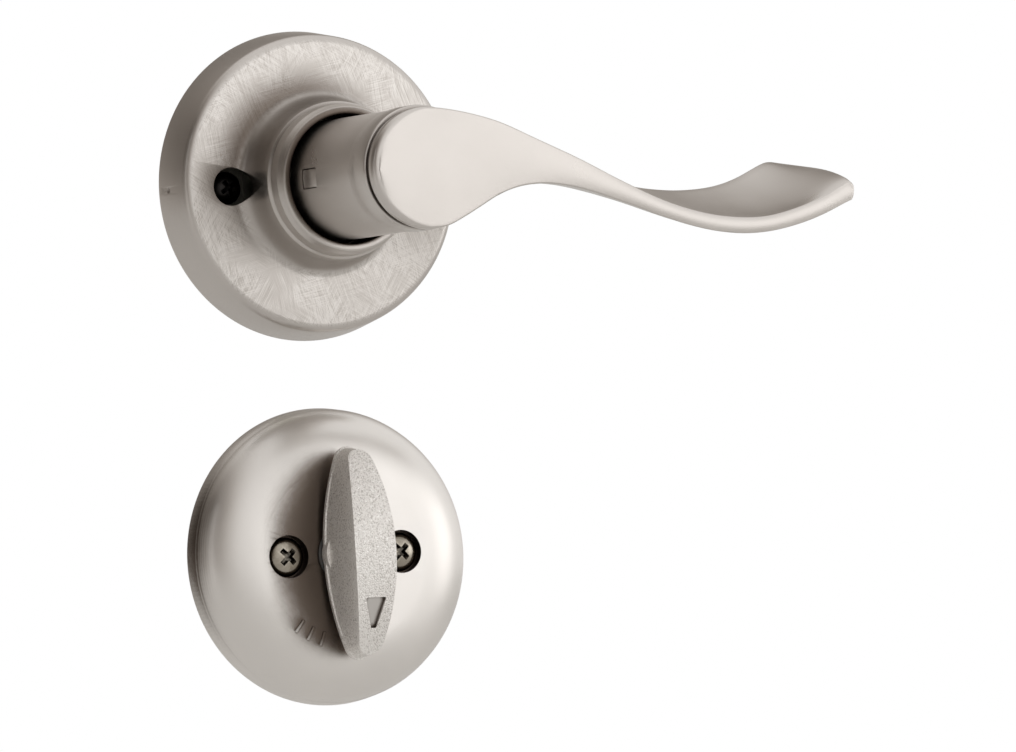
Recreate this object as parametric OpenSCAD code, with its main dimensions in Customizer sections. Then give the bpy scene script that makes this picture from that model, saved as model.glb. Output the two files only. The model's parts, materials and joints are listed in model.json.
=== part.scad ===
// Interior door trim set: a lever on a round rose, with a deadbolt thumbturn on a domed rose below it.
// The door's face is the plane y = 0. The trim stands out towards -y, and the parts that pass
// into the door lie on the +y side. The origin is on the lever's axis, and the lever points to +x.

/* [Layout] */
// Distance from the lever's axis down to the thumbturn's axis
turn_drop = 80.1; // [74:0.1:140]
// Projection of the lever's front face from the door
projection = 66; // [64:0.5:72]
// Length of the fixing screws behind the door's face
screw_reach = 25; // [18:0.5:26]
// Length of the spindle and the tailpiece behind the door's face
drive_reach = 42; // [34:1:60]
// Radius of the fixing screws, number 8
screw_r = 2.08; // [1.9:0.01:2.2]

/* [Lever rose] */
// Radius of the rose at the door
rose_r = 33.5; // [33:0.1:36]
// Radius at the front of the drafted rim
rose_face_r = 31.9; // [31.4:0.1:32.6]
// Height of the brushed face above the door
rose_h = 11; // [10.6:0.1:12]
// Height of the hub's lip above the door
hub_h = 25.8; // [25:0.1:27]
// Radius of the opening that the neck passes through
hub_hole_r = 13.95; // [13.6:0.05:14.2]
// Thickness of the stamped shells
skin = 1.2; // [1:0.1:1.4]
// Distance of each lever screw from the axis, for a 38.1 mm pattern
lever_screw_x = 19.05; // [18.9:0.05:19.5]
// Radius of the two holes in the rose that a screwdriver goes through
access_r = 4.15; // [3.9:0.05:4.3]

/* [Lever] */
// Radius of the round neck
neck_r = 13.1; // [12.8:0.1:13.3]
// Radius of the ring and the front disc
head_r = 13.4; // [13.3:0.1:14]
// Distance from the axis to the tip
lever_len = 102.2; // [96:0.1:110]
// Depth of the paddle from front to back near the tip
paddle_depth = 23.5; // [20:0.5:25]

/* [Drive] */
// Outer radius of the drive tube
tube_r = 10.2; // [10:0.05:10.4]
// Radius of the half-round spindle
spindle_r = 3.9; // [3.5:0.1:4.2]

/* [Thumbturn] */
// Radius of the domed rose at the door
dome_r = 32.1; // [31.5:0.1:34]
// Height of the dome's flat centre above the door
dome_h = 12; // [11.6:0.1:12.6]
// Radius of the dome's flat centre
dome_flat_r = 20.7; // [19:0.1:22]
// Distance of each thumbturn screw from its axis
turn_screw_x = 13.4; // [13:0.1:14]
// Length of the turn piece
turn_len = 46; // [40:0.5:52]
// Width of the turn piece at its middle
turn_w = 11.4; // [9:0.1:13]
// Height of the turn piece's front face above the door
turn_h = 27.6; // [25:0.1:30]

/* [Hidden] */
$fn = 96;

// Stack of the lever side, as heights above the door
plate_h = 2.4;
bush_top = 12.4;
washer_bot = 12.7;
washer_top = 13.6;
neck_bot = 14;
bore_top = 41;
tube_top = 40;
tube_bot = -3.4;
ring_bot = 56.2;
ring_top = 61.9;
groove_top = 63.4;
catch_h = 33;
catch_size = [7, 4.2];
spigot_r = 26.4;
spigot_len = 5;
tube_in_r = tube_r - 1.6;
bush_in_r = tube_r + 0.05;
bush_out_r = tube_r + 0.9;
hub_tube_r = tube_r + 1.9;
cage_r = 14.6;
cage_in_r = 13.95;
hub_foot_r = 17.15;
swing = 45;
ear_half = 8;

// Stack of the thumbturn side
dome_rim_h = 4.4;
seat_h = 9.2;
seat_r = 4.65;
shaft_r = 4.9;
turn_bot = 13;
boss_bot = 12.7;
boss_r = 6;
turn_hole_r = 5.95;
front_bow_r = 40.6;
back_bow_r = 111;
turn_lip = 0.9;

// The blade, one row for each station: distance from the axis, middle height of the front edge,
// its thickness, depth front to back, rise of the back edge, and thickness at the back
blade = [
    [2, -0.3, 25.4, 9.4, 0, 25.0],
    [8, 0.3, 22.4, 9.4, 0, 21.8],
    [16, 1.3, 16.2, 9.4, 0, 15.0],
    [24, 0.6, 10.8, 9.7, 0.1, 9.4],
    [34, -2.2, 7.0, 10.8, 0.7, 6.0],
    [44, -6.2, 4.9, 13.0, 2.0, 4.4],
    [54, -10.5, 3.8, 15.6, 3.9, 3.7],
    [64, -13.8, 3.4, 18.4, 6.0, 3.4],
    [74, -15.3, 3.4, 20.6, 7.7, 3.2],
    [84, -14.7, 3.5, 22.4, 9.0, 3.1],
    [93, -12.2, 3.8, 23.3, 9.7, 3.0],
    [98, -10.2, 4.0, 23.5, 7.4, 3.0],
    [102.2, -8.3, 4.1, 23.5, 4.4, 2.9]
];

// Turns a part's own axis to point straight out of the door
module outward(x = 0, z = 0) {
    translate([x, 0, z]) rotate([90, 0, 0]) children();
}

// A tube or ring on the outward axis, from h0 to h1
module ring(r_out, r_in, h0, h1) {
    translate([0, 0, h0]) difference() {
        cylinder(h = h1 - h0, r = r_out);
        translate([0, 0, -1]) cylinder(h = h1 - h0 + 2, r = r_in);
    }
}

// Points of an arc in the plane, as part of an ellipse about (cx, cy)
function arc(cx, cy, rx, ry, a0, a1, n = 6) =
    [for (i = [0:n]) let (a = a0 + (a1 - a0) * i / n) [cx + rx * cos(a), cy + ry * sin(a)]];

// One value of a table's column at x, on a smooth curve through the rows
function row_at(t, x, i = 0) = (i >= len(t) - 2 || x < t[i + 1][0]) ? i : row_at(t, x, i + 1);
function slope(t, i, c) =
    let (a = max(i - 1, 0), b = min(i + 1, len(t) - 1)) (t[b][c] - t[a][c]) / (t[b][0] - t[a][0]);
function smooth(t, x, c) =
    let (i = row_at(t, x), w = t[i + 1][0] - t[i][0], u = (x - t[i][0]) / w)
    t[i][c] * (1 - 3 * u * u + 2 * u * u * u) + t[i + 1][c] * (3 * u * u - 2 * u * u * u)
    + slope(t, i, c) * w * (u - 2 * u * u + u * u * u) + slope(t, i + 1, c) * w * (u * u * u - u * u);

// A closed skin over rings of points that all have the same count
module skin_over(rings) {
    n = len(rings[0]);
    m = len(rings);
    polyhedron(
        points = [for (r = rings) for (p = r) p],
        faces = concat(
            [[for (j = [0:n - 1]) j]],
            [for (i = [0:m - 2]) for (j = [0:n - 1])
                let (a = i * n + j, b = i * n + (j + 1) % n) each [[a, a + n, b], [b, a + n, b + n]]],
            [[for (j = [n - 1:-1:0]) (m - 1) * n + j]]
        )
    );
}

// A coil of round wire on the outward axis
module coil(r, wire_r, h0, h1, turns, steps = 20, sides = 8) {
    n = ceil(turns * steps);
    skin_over([for (i = [0:n])
        let (a = 360 * turns * i / n, h = h0 + (h1 - h0) * i / n)
        [for (j = [sides - 1:-1:0])
            let (b = 360 * j / sides, q = r + wire_r * cos(b))
            [q * cos(a), q * sin(a), h + wire_r * sin(b)]]]);
}

// A pan head with a cross recess, its seat at h = 0
module pan_head(r, h) {
    difference() {
        intersection() {
            cylinder(h = h, r = r);
            translate([0, 0, h - r * 1.7]) sphere(r = r * 1.7);
        }
        for (a = [45, 135]) rotate(a) translate([-r * 0.58, -r * 0.13, h * 0.4]) cube([r * 1.16, r * 0.26, h]);
        translate([0, 0, h * 0.3]) cylinder(h = h, r1 = r * 0.16, r2 = r * 0.42);
    }
}

// A pan head screw whose head sits at height h. Its thread ends at the door's face, and a thinner neck
// passes through the plate
module fixing_screw(h, head_radius, head_height) {
    translate([0, 0, h]) pan_head(head_radius, head_height);
    translate([0, 0, -screw_reach]) cylinder(h = screw_reach, r = screw_r);
    translate([0, 0, -0.1]) cylinder(h = h + 0.2, r = screw_r - 0.2);
}

// The blade's cross section at distance x: the front edge first, then round under to the back
front_h = function(x) projection - 0.1 - 2.5 * pow(max(x - 15, 0) / 90, 2);
// The back corner of the paddle is drawn in, and its end rises sooner than its middle
skew = function(x, s) 4.6 * pow(max(x - 55, 0) / (lever_len - 55), 5) * pow(s, 4);
lift = function(x, s) pow(s, 1.3 - 0.65 * min(max(x - 88, 0) / 12, 1));
function section(x, f) =
    let (
        z0 = smooth(blade, x, 1),
        t0 = smooth(blade, x, 2) / 2,
        d = smooth(blade, x, 3) * paddle_depth / 23.5,
        rise = smooth(blade, x, 4),
        t1 = smooth(blade, x, 5) / 2,
        under = [[0.03, 1], [0.3, 1.0], [0.6, 1.0], [0.88, 0.97], [0.97, 0.8], [1, 0.35]],
        walk = concat([[0, -0.9]], [for (p = under) [p[0], -p[1]]],
            [for (i = [5:-1:0]) under[i]], [[0, 0.9]])
    )
    [for (p = walk)
        let (s = p[0], z = z0 + rise * lift(x, s) + p[1] * f * (t0 + (t1 - t0) * s))
        [x - skew(x, s), z, front_h(x) - d * s]];

module blade_body() {
    tip = lever_len;
    body = [for (x = [2:2.6:tip - 4]) section(x, 1)];
    end = [for (g = [[2.6, 1], [1.6, 0.98], [0.8, 0.86], [0.3, 0.64], [0, 0.3]]) section(tip - g[0], g[1])];
    skin_over(concat(body, end));
}

module lever() {
    flare = concat(
        [[0, neck_bot], [neck_r - 0.4, neck_bot], [neck_r, neck_bot + 0.4], [neck_r, ring_bot - 2.2]],
        arc(neck_r + 0.6, ring_bot - 2.2, 0.6, 1.6, 180, 90, 3),
        [[head_r, ring_bot - 0.4], [head_r, ring_top], [0, ring_top]]
    );
    cap = concat(
        [[0, groove_top], [head_r - 0.1, groove_top]],
        arc(head_r - 1.6, projection - 1.5, 1.5, 1.5, 0, 90, 4),
        [[0, projection]]
    );
    color([0.77, 0.74, 0.71]) outward() difference() {
        union() {
            rotate_extrude() polygon(flare);
            translate([0, 0, ring_top - 0.5]) cylinder(h = groove_top - ring_top + 1, r = head_r - 1);
            rotate_extrude() polygon(cap);
            blade_body();
        }
        translate([0, 0, neck_bot - 1]) cylinder(h = bore_top - neck_bot + 1, r = tube_r + 0.05);
        translate([-neck_r - 1, -catch_size[1] / 2 - 0.1, catch_h - catch_size[0] / 2 - 0.1])
            cube([6, catch_size[1] + 0.2, catch_size[0] + 0.2]);
    }
}

module catch_button() {
    w = catch_size[1];
    l = catch_size[0];
    color([0.62, 0.59, 0.56]) outward() union() {
        intersection() {
            translate([-neck_r - 1, -w / 2, catch_h - l / 2]) cube([neck_r - 6.5, w, l]);
            translate([0, 0, catch_h - l]) cylinder(h = 2 * l, r = neck_r - 0.25);
        }
        translate([-7.7, -w / 2 - 0.8, catch_h - l / 2 - 0.8]) cube([1, w + 1.6, l + 1.6]);
        translate([-7, 0, catch_h]) rotate([0, 90, 0]) cylinder(h = 3.4, r = 1.1);
    }
}

module catch_spring() {
    color([0.72, 0.72, 0.70]) outward() translate([0, 0, catch_h]) rotate([0, 90, 0])
        coil(1.75, 0.3, -6.3, 8.1, 8, 14, 6);
}

module drive_tube() {
    floor_h = 1.6;
    color([0.70, 0.68, 0.60]) outward() difference() {
        translate([0, 0, tube_bot]) cylinder(h = tube_top - tube_bot, r = tube_r);
        translate([0, 0, tube_bot + floor_h]) cylinder(h = tube_top - tube_bot, r = tube_in_r);
        translate([0, 0, tube_bot - 1]) half_round(spindle_r, floor_h + 2);
        ring(tube_r + 1, tube_r - 0.7, -1.8, -0.8);
        translate([-tube_r - 1, -catch_size[1] / 2 - 0.1, catch_h - catch_size[0] / 2 - 0.1])
            cube([4, catch_size[1] + 0.2, catch_size[0] + 0.2]);
    }
}

// A round bar with one flat side
module half_round(r, h) {
    difference() {
        cylinder(h = h, r = r);
        translate([-r - 1, -2 * r - 1.4, -1]) cube([2 * r + 2, 2 * r, h + 2]);
    }
}

module spindle() {
    color([0.72, 0.71, 0.66]) outward() translate([0, 0, -drive_reach]) half_round(spindle_r, drive_reach + 5);
}

module drive_washer() {
    color([0.66, 0.65, 0.60]) outward() {
        difference() {
            union() {
                translate([0, 0, washer_bot]) cylinder(h = washer_top - washer_bot, r = 13.4);
                intersection() {
                    ring(cage_r - 0.1, 10.4, washer_bot, washer_top);
                    wedge(90, ear_half, 20, washer_bot, washer_top);
                }
                intersection() {
                    ring(13.6, 12.4, washer_bot - 3, washer_top);
                    wedge(90, ear_half, 20, washer_bot - 3, washer_top);
                }
            }
            translate([0, 0, washer_bot - 1]) cylinder(h = 4, r = tube_r);
        }
    }
}

// A wedge about the axis, centred on an angle and reaching half to each side
module wedge(mid, half, r, h0, h1) {
    translate([0, 0, h0]) linear_extrude(h1 - h0) polygon(concat([[0, 0]],
        [for (i = [-2:2]) let (a = mid + half * i / 2) [r * cos(a), r * sin(a)]]));
}

module retaining_ring() {
    color([0.45, 0.44, 0.42]) outward() difference() {
        ring(tube_r + 2.2, tube_r - 0.65, -1.75, -0.85);
        wedge(90, 20, 20, -3, 1);
    }
}

module thrust_washer() {
    color([0.72, 0.71, 0.68]) outward() ring(tube_r + 3, tube_r + 0.3, -0.7, -0.1);
}

module lever_rose() {
    outside = concat(
        [[rose_r, 0], [rose_r - 0.1, 0.9]],
        arc(rose_face_r - 2.1, rose_h - 2.1, 2.1, 2.1, 6, 90, 6),
        [[20.6, rose_h + 0.2]],
        arc(20.4, hub_h - 7.3, 20.4 - hub_foot_r, hub_h - 7.5 - rose_h, 270, 180, 7),
        [[hub_foot_r - 0.1, hub_h - 5.3], [16.5, hub_h - 4.8], [16.2, hub_h - 2.2]],
        arc(hub_hole_r + 0.9, hub_h - 0.9, 0.9, 0.9, 0, 180, 6),
        [[hub_hole_r, hub_h - 2]]
    );
    inside = [
        [hub_hole_r + 1, hub_h - 3], [14.95, hub_h - 3.6], [15.2, hub_h - 5.6], [15.85, hub_h - 6.2],
        [16.1, 16.4], [17.2, 12.8], [20.4, rose_h - 1], [rose_face_r - 2.2, rose_h - skin],
        [rose_face_r - 1.1, rose_h - 2.4], [rose_r - skin, 0]
    ];
    color([0.75, 0.72, 0.69]) outward() difference() {
        rotate_extrude() polygon(concat(outside, inside));
        for (s = [-1, 1]) {
            translate([s * (hub_foot_r + access_r), 0, 1]) cylinder(h = 30, r = access_r);
            translate([s * (rose_r + 0.35), 0, 4.2]) sphere(r = 1.1, $fn = 24);
        }
    }
}

module lever_plate() {
    color([0.70, 0.69, 0.64]) outward() difference() {
        union() {
            cylinder(h = plate_h, r = rose_r - skin - 0.5);
            ring(spigot_r, spigot_r - 2, -spigot_len, 1);
            cylinder(h = bush_top, r = hub_tube_r);
        }
        translate([0, 0, -1]) cylinder(h = bush_top + 2, r = bush_out_r);
        for (s = [-1, 1]) translate([s * lever_screw_x, 0, -1]) cylinder(h = 5, r = screw_r + 0.3);
    }
}

module bearing_bush() {
    color([0.16, 0.15, 0.15]) outward() ring(bush_out_r, bush_in_r, 0, bush_top);
}

module spring_cage() {
    color([0.68, 0.67, 0.62]) outward() difference() {
        union() {
            ring(cage_r, cage_in_r, plate_h, washer_top);
            ring(cage_r, hub_tube_r, plate_h, plate_h + 0.7);
        }
        wedge(90, swing + ear_half + 0.6, 20, washer_bot - 3.2, washer_top + 1);
    }
}

module return_spring() {
    color([0.50, 0.50, 0.52]) outward() union() {
        rotate(90 + ear_half + 5) coil(13.02, 0.66, 4.0, 8.4, 2.93);
        for (s = [-1, 1]) rotate(90 + s * (ear_half + 5)) translate([13.02, 0, 6 - 2 * s])
            cylinder(h = 6.2 + 2 * s, r = 0.6, $fn = 16);
    }
}

module lever_screws() {
    color([0.25, 0.24, 0.23]) outward() for (s = [-1, 1])
        translate([s * lever_screw_x, 0, 0]) fixing_screw(plate_h, 3.6, 2.5);
}

// Outline of the turn piece: two long arcs that meet in rounded ends, made smaller by inset
module boat(inset) {
    half = turn_len / 2 - inset;
    w = turn_w / 2 - inset;
    end_r = 2.4;
    reach = half - end_r;
    bow = (reach * reach + (w - end_r) * (w - end_r)) / (2 * (w - end_r)) + end_r;
    union() {
        intersection() {
            translate([w - bow, 0]) circle(r = bow, $fn = 200);
            translate([bow - w, 0]) circle(r = bow, $fn = 200);
            square([turn_w * 2, 2 * reach], center = true);
        }
        for (s = [-1, 1]) translate([0, s * reach]) circle(r = end_r, $fn = 40);
    }
}

// The turn piece seen from the side is a lens: its front bows out, and its back bows gently the other way
module turn_body(inset, front_in, back_in) {
    intersection() {
        linear_extrude(turn_h + 1) boat(inset);
        translate([0, 0, turn_h - front_bow_r]) rotate([0, 90, 0])
            cylinder(h = 2 * turn_w, r = front_bow_r - front_in, center = true, $fn = 240);
        translate([0, 0, turn_bot + back_bow_r]) rotate([0, 90, 0])
            cylinder(h = 2 * turn_w, r = back_bow_r - back_in, center = true, $fn = 360);
    }
}

module turn_piece() {
    color([0.73, 0.71, 0.69]) outward(0, -turn_drop) difference() {
        union() {
            difference() {
                turn_body(0, 0, 0);
                turn_body(-1, -1, turn_lip);
            }
            turn_body(0.35, 0, turn_lip / 2);
            translate([0, 0, boss_bot]) cylinder(h = 2, r = boss_r);
        }
        translate([0, 0, boss_bot - 1]) cylinder(h = 9, r = shaft_r);
        difference() {
            linear_extrude(turn_h + 1) polygon([[-2.3, -10.2], [2.3, -10.2], [0.5, -16.3], [-0.5, -16.3]]);
            turn_body(0, 0.7, 0);
        }
    }
}

module turn_shaft() {
    color([0.68, 0.67, 0.62]) outward(0, -turn_drop) difference() {
        translate([0, 0, 3]) cylinder(h = turn_bot + 2, r = shaft_r);
        ring(shaft_r + 1, shaft_r - 0.6, 6.4, 7.2);
        translate([-3.05, -1.25, 2]) cube([6.1, 2.5, 7]);
    }
}

module tailpiece() {
    color([0.74, 0.73, 0.70]) outward(0, -turn_drop) translate([-3, -1.2, -drive_reach])
        cube([6, 2.4, drive_reach + 8.5]);
}

module turn_clip() {
    color([0.45, 0.44, 0.42]) outward(0, -turn_drop) difference() {
        ring(shaft_r + 2, shaft_r - 0.55, 6.45, 7.15);
        wedge(90, 22, 20, 5, 8);
    }
}

module turn_rose() {
    outside = concat(
        [[turn_hole_r, dome_h], [14, dome_h]],
        arc(14, dome_h - 4, dome_flat_r - 14, 4, 90, 62, 3),
        arc(dome_flat_r - 3, dome_rim_h - 1.6, dome_r - dome_flat_r + 2.2, dome_h - dome_rim_h + 0.9, 74, 12, 9),
        [[dome_r - 0.5, dome_rim_h - 0.6], [dome_r, 0]]
    );
    inside = concat(
        [[dome_r - skin, 0], [dome_r - skin - 0.5, dome_rim_h - 1]],
        arc(dome_flat_r - 3, dome_rim_h - 2, dome_r - dome_flat_r + 1.1, dome_h - dome_rim_h, 14, 74, 7),
        [[14, dome_h - skin], [turn_hole_r, dome_h - skin]]
    );
    color([0.76, 0.73, 0.70]) outward(0, -turn_drop) difference() {
        union() {
            rotate_extrude() polygon(concat(outside, inside));
            for (s = [-1, 1]) translate([s * turn_screw_x, 0, seat_h - skin]) cylinder(h = 2.5, r = seat_r + 0.9);
        }
        for (s = [-1, 1]) translate([s * turn_screw_x, 0, 0]) {
            translate([0, 0, seat_h]) cylinder(h = 9, r = seat_r);
            cylinder(h = 20, r = screw_r + 0.3);
        }
        mark_bars(2);
    }
}

module turn_plate() {
    color([0.70, 0.69, 0.64]) outward(0, -turn_drop) difference() {
        union() {
            cylinder(h = 2, r = dome_r - skin - 1.2);
            for (s = [-1, 1]) translate([s * turn_screw_x, 0, 0]) cylinder(h = seat_h - skin - 0.05, r = 4.2);
        }
        translate([0, 0, -1]) cylinder(h = 5, r = 7.8);
        for (s = [-1, 1]) translate([s * turn_screw_x, 0, -1]) cylinder(h = 12, r = screw_r + 0.3);
    }
}

module turn_bush() {
    color([0.16, 0.15, 0.15]) outward(0, -turn_drop) union() {
        ring(turn_hole_r - 0.05, shaft_r + 0.06, dome_h - skin - 0.6, dome_h + 0.2);
        ring(turn_hole_r + 0.55, shaft_r + 0.06, dome_h + 0.05, dome_h + 0.5);
    }
}

module turn_washer() {
    color([0.55, 0.54, 0.52]) outward(0, -turn_drop) ring(7.6, shaft_r + 0.3, 7.3, 7.9);
}

module turn_screws() {
    color([0.55, 0.53, 0.49]) outward(0, -turn_drop) for (s = [-1, 1])
        translate([s * turn_screw_x, 0, 0]) fixing_screw(seat_h, 4.2, 2.7);
}

// Three bars side by side along an arc below the turn piece, laid along the dome's slope
module mark_bars(height) {
    slope_deg = 7.4;
    for (a = [-128, -119, -110]) rotate(a) translate([17.4, -0.4, dome_h - 1]) rotate([0, slope_deg, 0])
        cube([3.2, 0.8, height]);
}

module position_marks() {
    color([0.72, 0.69, 0.66]) outward(0, -turn_drop) mark_bars(0.9);
}

lever();
catch_button();
catch_spring();
drive_tube();
drive_washer();
spindle();
retaining_ring();
thrust_washer();
lever_rose();
lever_plate();
bearing_bush();
spring_cage();
return_spring();
lever_screws();
turn_piece();
turn_shaft();
turn_clip();
tailpiece();
turn_rose();
turn_plate();
turn_bush();
turn_washer();
turn_screws();
position_marks();
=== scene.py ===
import json
import math

import bmesh
import bpy
from mathutils import Matrix, Vector


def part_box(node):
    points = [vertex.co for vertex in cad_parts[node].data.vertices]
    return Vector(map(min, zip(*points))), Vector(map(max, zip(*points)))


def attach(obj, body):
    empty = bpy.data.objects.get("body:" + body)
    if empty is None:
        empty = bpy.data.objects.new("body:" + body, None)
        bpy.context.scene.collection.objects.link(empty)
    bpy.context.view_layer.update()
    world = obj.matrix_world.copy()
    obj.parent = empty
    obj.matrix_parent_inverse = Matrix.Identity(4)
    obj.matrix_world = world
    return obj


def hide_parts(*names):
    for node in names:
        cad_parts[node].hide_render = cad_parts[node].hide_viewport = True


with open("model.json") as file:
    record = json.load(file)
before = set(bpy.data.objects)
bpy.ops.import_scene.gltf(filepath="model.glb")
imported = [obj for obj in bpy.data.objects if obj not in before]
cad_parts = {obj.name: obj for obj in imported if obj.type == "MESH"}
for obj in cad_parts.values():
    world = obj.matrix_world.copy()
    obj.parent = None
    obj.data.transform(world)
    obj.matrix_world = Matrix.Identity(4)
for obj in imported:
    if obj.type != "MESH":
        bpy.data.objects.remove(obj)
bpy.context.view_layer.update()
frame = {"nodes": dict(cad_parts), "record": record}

mm = 0.001
turnDrop = (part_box("turn_piece")[0].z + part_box("turn_piece")[1].z) / 2


cameraSetup = {
    "yaw": 25.5,        # degrees to the left of the door's normal
    "elevation": -2.0,
    "roll": 3.5,
    "distance": 5.0,
    "target": (0.0470, 0, -0.0429),
    "lens": 818.3,
}


def makeCamera(setup):
    yaw, tilt, roll = (math.radians(setup[k]) for k in ("yaw", "elevation", "roll"))
    back = Vector((-math.sin(yaw) * math.cos(tilt), -math.cos(yaw) * math.cos(tilt), math.sin(tilt)))
    right = Vector((math.cos(yaw), -math.sin(yaw), 0))
    up = back.cross(right)
    rolledRight = math.cos(roll) * right - math.sin(roll) * up
    rolledUp = math.sin(roll) * right + math.cos(roll) * up
    data = bpy.data.cameras.new("productCamera")
    data.lens = setup["lens"]
    data.sensor_width = 36
    data.clip_start = 0.1
    data.clip_end = 100
    camera = bpy.data.objects.new("productCamera", data)
    bpy.context.collection.objects.link(camera)
    turned = Matrix((rolledRight, rolledUp, back)).transposed().to_4x4()
    camera.matrix_world = Matrix.Translation(Vector(setup["target"]) + back * setup["distance"]) @ turned
    bpy.context.scene.camera = camera
    return camera


lights = {
    # name: place, what it faces, width, height, watts
    "frontPanel": ((0.75, -1.5, 0.15), (0.02, 0, -0.04), 0.9, 0.9, 1.3),
    "rightPanel": ((1.3, -0.7, -0.1), (0.02, 0, -0.04), 0.7, 0.9, 1.8),
    "lowPanel": ((0.1, -0.9, -1.1), (0.02, 0, -0.04), 1.0, 0.6, 1.2),
    "leftStrip": ((-1.3, -0.45, 0.15), (0, 0, -0.04), 0.18, 1.2, 0.5),
}


def makeLights(setup):
    for name, (place, aim, width, height, watts) in setup.items():
        data = bpy.data.lights.new(name, "AREA")
        data.shape = "RECTANGLE"
        data.size = width
        data.size_y = height
        data.energy = watts
        lamp = bpy.data.objects.new(name, data)
        lamp.location = place
        lamp.rotation_euler = (Vector(aim) - Vector(place)).to_track_quat("-Z", "Y").to_euler()
        bpy.context.collection.objects.link(lamp)


room = {"leftHigh": 0.07, "leftLow": 0.62, "backHigh": 0.75, "strength": 0.97}


def makeWorld():
    world = bpy.data.worlds.new("studio")
    bpy.context.scene.world = world
    world.use_nodes = True
    tree = world.node_tree
    tree.nodes.clear()
    out = tree.nodes.new("ShaderNodeOutputWorld")
    walls = tree.nodes.new("ShaderNodeBackground")
    paper = tree.nodes.new("ShaderNodeBackground")
    paper.inputs["Color"].default_value = (1, 1, 1, 1)
    paper.inputs["Strength"].default_value = 1.0
    mix = tree.nodes.new("ShaderNodeMixShader")
    seen = tree.nodes.new("ShaderNodeLightPath")
    where = tree.nodes.new("ShaderNodeTexCoord")
    split = tree.nodes.new("ShaderNodeSeparateXYZ")
    tree.links.new(where.outputs["Generated"], split.inputs[0])

    def between(value, low, high, toLow, toHigh):
        node = tree.nodes.new("ShaderNodeMapRange")
        node.interpolation_type = "SMOOTHSTEP"
        for slot, number in enumerate((low, high, toLow, toHigh), 1):
            node.inputs[slot].default_value = number
        tree.links.new(value, node.inputs[0])
        return node.outputs[0]

    def times(first, second):
        node = tree.nodes.new("ShaderNodeMath")
        node.operation = "MULTIPLY"
        tree.links.new(first, node.inputs[0])
        tree.links.new(second, node.inputs[1])
        return node.outputs[0]

    def minus(first, second):
        node = tree.nodes.new("ShaderNodeMath")
        node.operation = "SUBTRACT"
        node.inputs[0].default_value = first
        tree.links.new(second, node.inputs[1])
        return node.outputs[0]

    # the room is dim to the upper left, and behind the door it is dim above and bright below
    toLeft = between(split.outputs["X"], -0.9, -0.1, 1, 0)
    leftDim = between(split.outputs["Z"], -0.7, 0.6, 1 - room["leftLow"], 1 - room["leftHigh"])
    side = minus(1, times(toLeft, leftDim))
    behind = between(split.outputs["Y"], 0.3, 0.85, 0, 1)
    high = between(split.outputs["Z"], -0.2, 0.5, 0, room["backHigh"])
    ramp = tree.nodes.new("ShaderNodeValToRGB")
    ramp.color_ramp.elements[0].position = 0.0
    ramp.color_ramp.elements[0].color = (0.030, 0.020, 0.014, 1)
    middle = ramp.color_ramp.elements.new(0.45)
    middle.color = (0.42, 0.385, 0.35, 1)
    ramp.color_ramp.elements[2].position = 1.0
    ramp.color_ramp.elements[2].color = (1.0, 0.99, 0.975, 1)
    tree.links.new(times(side, minus(1, times(behind, high))), ramp.inputs[0])
    tree.links.new(ramp.outputs[0], walls.inputs["Color"])
    walls.inputs["Strength"].default_value = room["strength"]
    tree.links.new(seen.outputs["Is Camera Ray"], mix.inputs[0])
    tree.links.new(walls.outputs[0], mix.inputs[1])
    tree.links.new(paper.outputs[0], mix.inputs[2])
    tree.links.new(mix.outputs[0], out.inputs[0])


makeCamera(cameraSetup)
makeLights(lights)
makeWorld()
bpy.context.scene.view_settings.view_transform = "Standard"
print("camera and lights made")


def addNode(tree, kind, ins=None, **fields):
    node = tree.nodes.new(kind)
    for key, value in fields.items():
        setattr(node, key, value)
    for key, value in (ins or {}).items():
        node.inputs[key].default_value = value
    return node


def newGroup(name, inputs, outputs):
    group = bpy.data.node_groups.new(name, "ShaderNodeTree")
    for label, kind, value in inputs:
        socket = group.interface.new_socket(label, in_out="INPUT", socket_type=kind)
        if value is not None:
            socket.default_value = value
    for label, kind in outputs:
        group.interface.new_socket(label, in_out="OUTPUT", socket_type=kind)
    return group, group.nodes.new("NodeGroupInput"), group.nodes.new("NodeGroupOutput")


def mathNode(tree, operation, first, second, clamp=False):
    node = addNode(tree, "ShaderNodeMath", operation=operation, use_clamp=clamp)
    for slot, value in enumerate((first, second)):
        if isinstance(value, (int, float)):
            node.inputs[slot].default_value = value
        elif value is not None:
            tree.links.new(value, node.inputs[slot])
    return node.outputs[0]


def rangeNode(tree, value, low, high, toLow, toHigh):
    limits = {"From Min": low, "From Max": high, "To Min": toLow, "To Max": toHigh}
    node = addNode(tree, "ShaderNodeMapRange", limits)
    tree.links.new(value, node.inputs["Value"])
    return node.outputs["Result"]


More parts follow.
